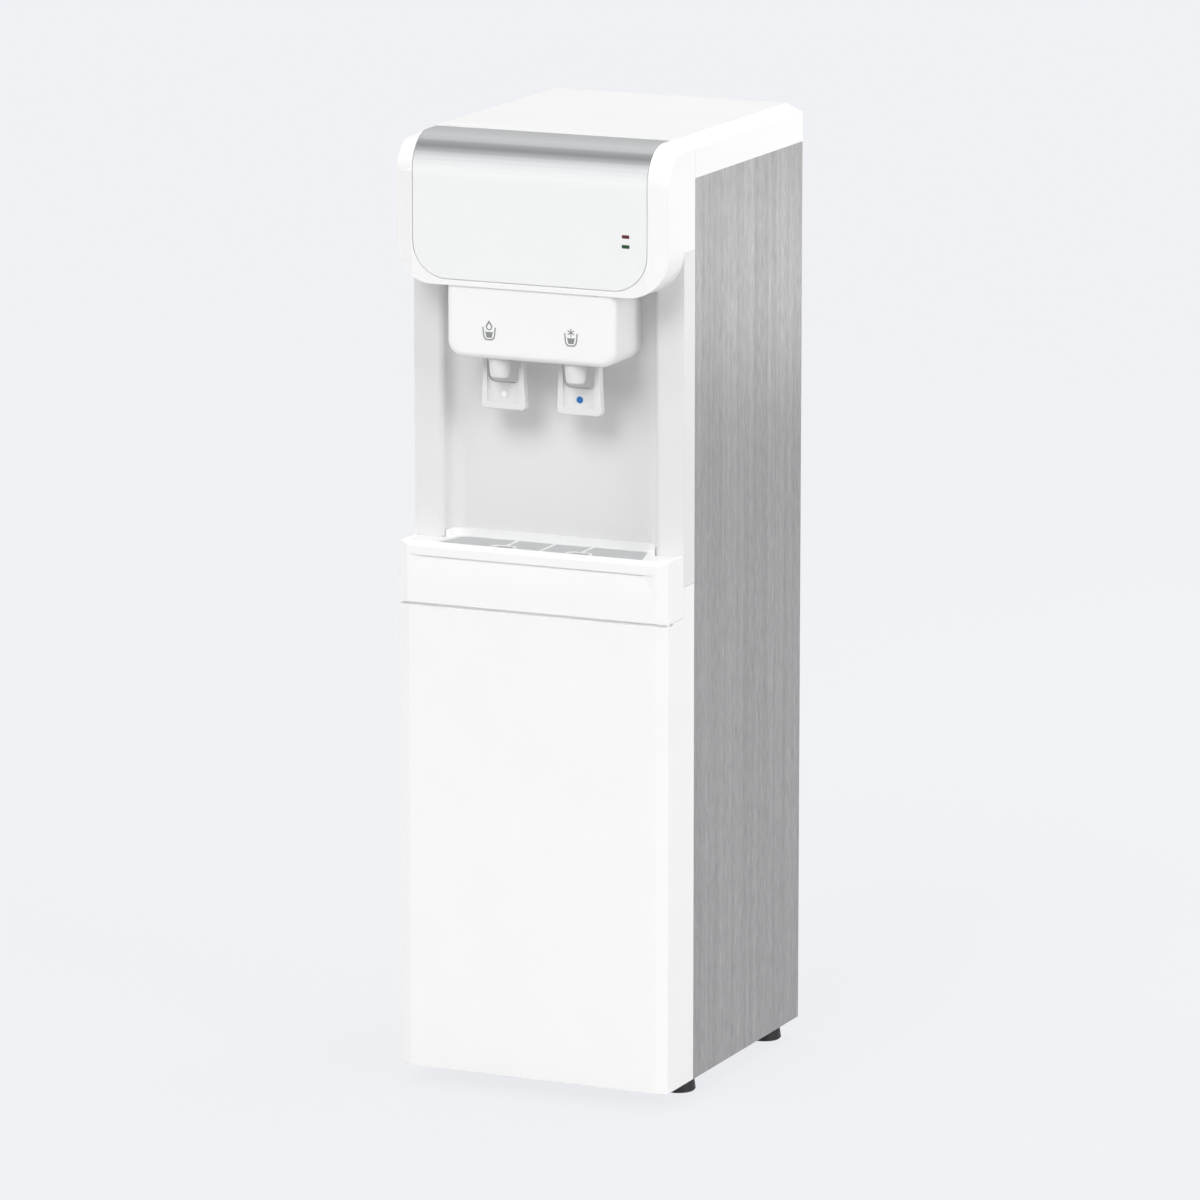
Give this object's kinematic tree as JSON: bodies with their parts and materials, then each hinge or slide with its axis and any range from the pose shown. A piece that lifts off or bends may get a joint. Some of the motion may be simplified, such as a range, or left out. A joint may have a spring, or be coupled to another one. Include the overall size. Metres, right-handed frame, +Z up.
{
  "type": "water cooler",
  "caption": "Tall narrow free-standing point-of-use water cooler with push-back taps over an alcove, a pull-out drip tray, brushed steel sides and a front cover over the filters.",
  "frame": {"origin": "middle of the footprint, on the floor under the feet", "axes": "+Z up along the height, front with the taps facing -Y, +X to the right seen from the front"},
  "size_m": [0.3, 0.35, 0.992],
  "materials": {
    "white_plastic": "satin white moulding",
    "silver_plate": "pale silver, satin",
    "brushed_steel": "vertical brushed grain",
    "zinc_steel": "zinc-coated sheet",
    "stainless": "drawn stainless steel",
    "black_rubber": "matt black",
    "black_plastic": "matt black",
    "blue_plastic": "glossy blue",
    "red_lens": "clear red",
    "green_lens": "clear green",
    "circuit_green": "circuit board",
    "foam": "rigid foam",
    "copper": "bare copper tube",
    "black_enamel": "black enamel",
    "silicone": "translucent white silicone",
    "white_tube": "polyethylene tube",
    "clear_plastic": "natural polypropylene",
    "spring_steel": "bright spring wire"
  },
  "bodies": {
    "cabinet": {"base_pan": "zinc_steel", "side_panel_left": "brushed_steel", "side_panel_right": "brushed_steel", "rear_panel": "zinc_steel", "top_cover": "white_plastic", "head_cover": "white_plastic", "fascia_plate": "silver_plate", "power_lens": "red_lens", "cold_lens": "green_lens", "indicator_board": "circuit_green", "alcove_frame": "white_plastic", "tap_housing": "white_plastic", "lever_pins": "stainless", "tap_valve_left": "white_plastic", "tap_valve_right": "white_plastic", "valve_spring_left": "spring_steel", "valve_spring_right": "spring_steel", "lower_cover": "white_plastic", "tank_shelf": "zinc_steel", "tank_insulation": "foam", "cold_tank": "stainless", "evaporator_coil": "copper", "reservoir": "clear_plastic", "reservoir_lid": "clear_plastic", "float_valve": "white_plastic", "cold_outlet_tube": "silicone", "ambient_outlet_tube": "silicone", "thermostat": "black_plastic", "power_inlet": "black_plastic", "compressor": "black_enamel", "compressor_grommets": "black_rubber", "compressor_relay": "black_plastic", "condenser_coil": "black_enamel", "condenser_wires": "black_enamel", "condenser_clips": "black_plastic", "refrigerant_lines": "copper", "filter_bracket": "zinc_steel", "filter_heads": "white_plastic", "water_inlet": "white_plastic", "inlet_valve": "white_plastic", "water_tubes": "white_tube", "wiring_harness": "black_plastic", "fasteners": "stainless"},
    "lever_left": {"lever_left": "white_plastic"},
    "lever_right": {"lever_right": "white_plastic", "cold_badge": "blue_plastic"},
    "stem_left": {"valve_stem_left": "silicone"},
    "stem_right": {"valve_stem_right": "silicone"},
    "drip_tray": {"drip_tray": "white_plastic"},
    "drip_grille": {"drip_grille": "white_plastic"},
    "foot_front_left": {"foot_front_left": "black_plastic"},
    "foot_front_right": {"foot_front_right": "black_plastic"},
    "foot_rear_left": {"foot_rear_left": "black_plastic"},
    "foot_rear_right": {"foot_rear_right": "black_plastic"},
    "filter_left": {"filter_cartridge_left": "white_plastic"},
    "filter_right": {"filter_cartridge_right": "white_plastic"},
    "float": {"float_arm": "white_plastic"},
    "thermostat_knob": {"thermostat_knob": "black_plastic"},
    "power_rocker": {"power_rocker": "black_plastic"},
    "drain_cap": {"drain_cap": "black_plastic"}
  },
  "joints": [
    {"name": "lever_left_hinge", "type": "hinge", "parent": "cabinet", "child": "lever_left", "pos_m": [-0.042, -0.1658, 0.81], "axis": [1, 0, 0], "range_deg": [0, 12], "stiffness_Nm_per_rad": 0.35, "springref_deg": -17.19},
    {"name": "stem_left_slide", "type": "slide", "parent": "cabinet", "child": "stem_left", "axis": [0, 0, 1], "range_m": [0, 0.00262], "stiffness_N_per_m": 50, "springref_m": -0.003, "deforming": ["valve_spring_left"]},
    {"name": "lever_right_hinge", "type": "hinge", "parent": "cabinet", "child": "lever_right", "pos_m": [0.042, -0.1658, 0.81], "axis": [1, 0, 0], "range_deg": [0, 12], "stiffness_Nm_per_rad": 0.35, "springref_deg": -17.19},
    {"name": "stem_right_slide", "type": "slide", "parent": "cabinet", "child": "stem_right", "axis": [0, 0, 1], "range_m": [0, 0.00262], "stiffness_N_per_m": 50, "springref_m": -0.003, "deforming": ["valve_spring_right"]},
    {"name": "drip_tray_slide", "type": "slide", "parent": "cabinet", "child": "drip_tray", "axis": [0, -1, 0], "range_m": [0, 0.065]},
    {"name": "drip_grille_lift", "type": "slide", "parent": "drip_tray", "child": "drip_grille", "axis": [0, 0, 1], "range_m": [0, 0.05]},
    {"name": "foot_front_left_screw", "type": "hinge", "parent": "cabinet", "child": "foot_front_left", "pos_m": [-0.122, -0.07575, 0.01], "axis": [0, 0, 1], "continuous": true},
    {"name": "foot_front_right_screw", "type": "hinge", "parent": "cabinet", "child": "foot_front_right", "pos_m": [0.122, -0.07575, 0.01], "axis": [0, 0, 1], "continuous": true},
    {"name": "foot_rear_left_screw", "type": "hinge", "parent": "cabinet", "child": "foot_rear_left", "pos_m": [-0.122, 0.14925, 0.01], "axis": [0, 0, 1], "continuous": true},
    {"name": "foot_rear_right_screw", "type": "hinge", "parent": "cabinet", "child": "foot_rear_right", "pos_m": [0.122, 0.14925, 0.01], "axis": [0, 0, 1], "continuous": true},
    {"name": "filter_left_twist", "type": "hinge", "parent": "cabinet", "child": "filter_left", "pos_m": [-0.05, -0.058, 0.4], "axis": [0, 0, 1], "range_deg": [0, 90]},
    {"name": "filter_right_twist", "type": "hinge", "parent": "cabinet", "child": "filter_right", "pos_m": [0.05, -0.058, 0.4], "axis": [0, 0, 1], "range_deg": [0, 90]},
    {"name": "float_hinge", "type": "hinge", "parent": "cabinet", "child": "float", "pos_m": [0, 0.113, 0.935], "axis": [1, 0, 0], "range_deg": [-14, 0]},
    {"name": "thermostat_knob_turn", "type": "hinge", "parent": "cabinet", "child": "thermostat_knob", "pos_m": [0.122, 0.152, 0.9], "axis": [0, 1, 0], "range_deg": [0, 270]},
    {"name": "power_rocker_tip", "type": "hinge", "parent": "cabinet", "child": "power_rocker", "pos_m": [-0.115, 0.15, 0.316], "axis": [1, 0, 0], "range_deg": [0, 16]},
    {"name": "drain_cap_screw", "type": "hinge", "parent": "cabinet", "child": "drain_cap", "pos_m": [0, 0.158, 0.77], "axis": [0, 1, 0], "continuous": true}
  ],
  "couplings": [
    {"joint": "lever_left_hinge", "follows": "stem_left_slide", "rad_per_m": 80},
    {"joint": "lever_right_hinge", "follows": "stem_right_slide", "rad_per_m": 80}
  ]
}
